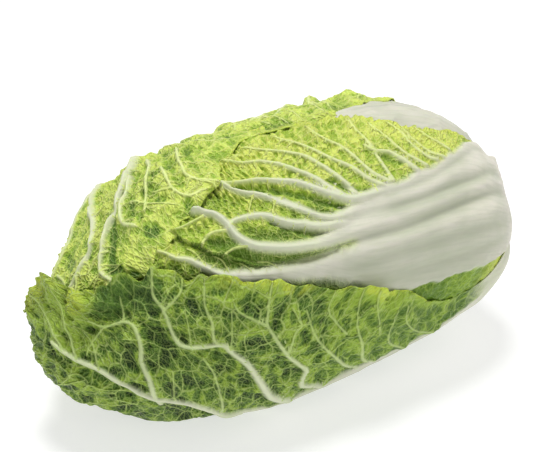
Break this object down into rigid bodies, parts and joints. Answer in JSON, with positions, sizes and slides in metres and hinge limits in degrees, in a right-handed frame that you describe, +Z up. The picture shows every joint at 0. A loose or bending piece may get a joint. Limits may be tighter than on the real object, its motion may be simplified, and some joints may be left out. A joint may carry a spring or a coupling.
{
  "type": "napa cabbage",
  "caption": "Whole napa cabbage lying on its side: broad crinkled leaves with thick white ribs wrap an oblong head, from a cut stem to the leafy tip",
  "frame": {"origin": "centre of the footprint of the bounding box, on the surface that the head lies on", "axes": "+X runs along the head from the leafy tip to the cut stem, +Z is up, so the head lies on its side"},
  "size_m": [0.2931, 0.1603, 0.156],
  "materials": {
    "heart": "satin, pale yellow packed leaves",
    "stem": "matte cut stem",
    "inner_leaf": "satin yellow-green blade, white rib",
    "top_leaf": "satin green blade, white rib",
    "underside_leaf": "satin green blade, white rib",
    "main_leaf": "satin, broad white rib and yellow-green blade",
    "back_leaf": "satin yellow-green crinkled blade",
    "outer_leaf": "satin dark green blade with pale veins"
  },
  "bodies": {
    "root": {"heart": "heart", "cut_stem": "stem", "inner_back_leaf": "inner_leaf", "inner_front_leaf": "inner_leaf", "top_leaf": "top_leaf", "underside_leaf": "underside_leaf", "main_front_leaf": "main_leaf", "back_outer_leaf": "back_leaf", "front_outer_leaf": "outer_leaf"}
  },
  "joints": []
}
